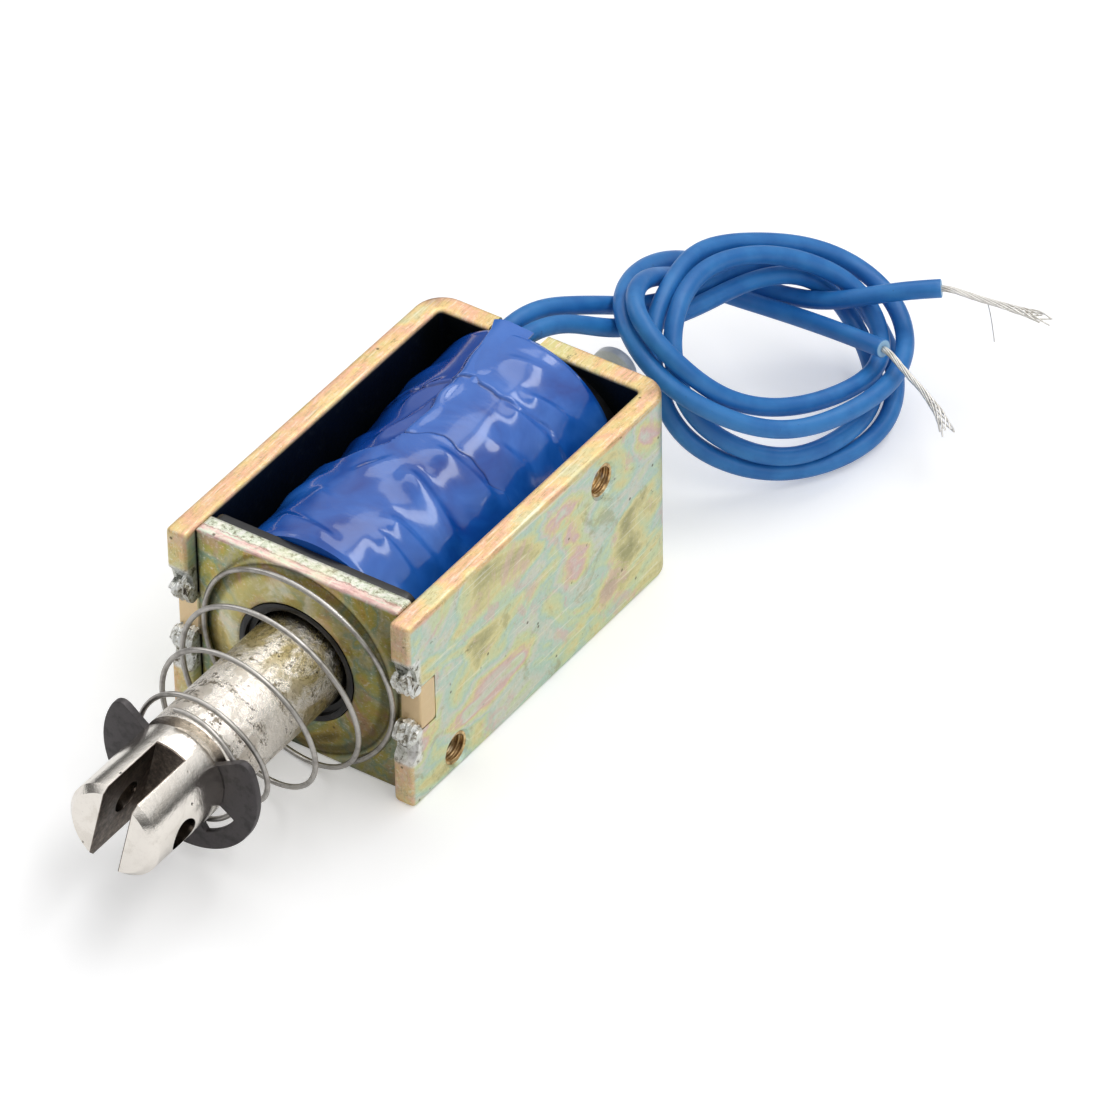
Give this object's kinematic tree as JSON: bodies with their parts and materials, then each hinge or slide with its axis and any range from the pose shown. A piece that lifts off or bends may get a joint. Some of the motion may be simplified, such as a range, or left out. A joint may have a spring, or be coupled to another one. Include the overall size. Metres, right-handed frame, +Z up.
{
  "type": "push pull solenoid",
  "caption": "Open-frame push pull solenoid with clevis plunger, conical return spring, clip, taped coil and two loosely knotted bare-ended leads.",
  "frame": {"origin": "on the plane of the frame's lower edges, below the middle of the length from the clevis end to the back of the rod's cap, half way across the frame", "axes": "+Y along the plunger's axis from the clevis towards the rear wall, +Z up, +X towards the wall with the tapped holes"},
  "size_m": [0.0536, 0.1345, 0.0282],
  "materials": {
    "zinc_strap": "yellow zinc plate, worn and scratched",
    "zinc_plate": "yellow zinc plate, torn cut edges",
    "black_nylon": "glossy moulded",
    "enamelled_copper": "enamelled wire",
    "blue_tape": "glossy wrinkled film tape",
    "yellow_tape": "film tape",
    "zinc_core": "plated",
    "white_nylon": "translucent moulded",
    "spring_steel": "satin drawn wire",
    "black_clip": "black oxide",
    "nickel_steel": "bright nickel, pitted",
    "dark_rod": "turned",
    "solder": "dull solder",
    "blue_pvc": "smooth PVC insulation",
    "tinned_copper": "tinned strands"
  },
  "bodies": {
    "solenoid": {"frame": "zinc_strap", "front_plate": "zinc_plate", "bobbin": "black_nylon", "winding": "enamelled_copper", "coil_tape": "blue_tape", "joint_strip": "blue_tape", "joint_pad": "yellow_tape", "pole_core": "zinc_core", "gap_washer": "white_nylon", "return_spring": "spring_steel", "joint_a": "solder", "joint_b": "solder", "coil_tail_a": "enamelled_copper", "coil_tail_b": "enamelled_copper", "lead_a": "blue_pvc", "lead_b": "blue_pvc", "strands_a": "tinned_copper", "strands_b": "tinned_copper"},
    "spring_clip": {"clip": "black_clip"},
    "plunger": {"plunger": "nickel_steel", "push_rod": "dark_rod", "rod_cap": "white_nylon"}
  },
  "joints": [
    {"name": "plunger_slide", "type": "slide", "parent": "solenoid", "child": "spring_clip", "axis": [0, 1, 0], "range_m": [0, 0.01], "stiffness_N_per_m": 55, "deforming": ["return_spring"]},
    {"name": "plunger_spin", "type": "hinge", "parent": "spring_clip", "child": "plunger", "pos_m": [0, -0.03645, 0.01275], "axis": [0, 1, 0], "continuous": true}
  ]
}
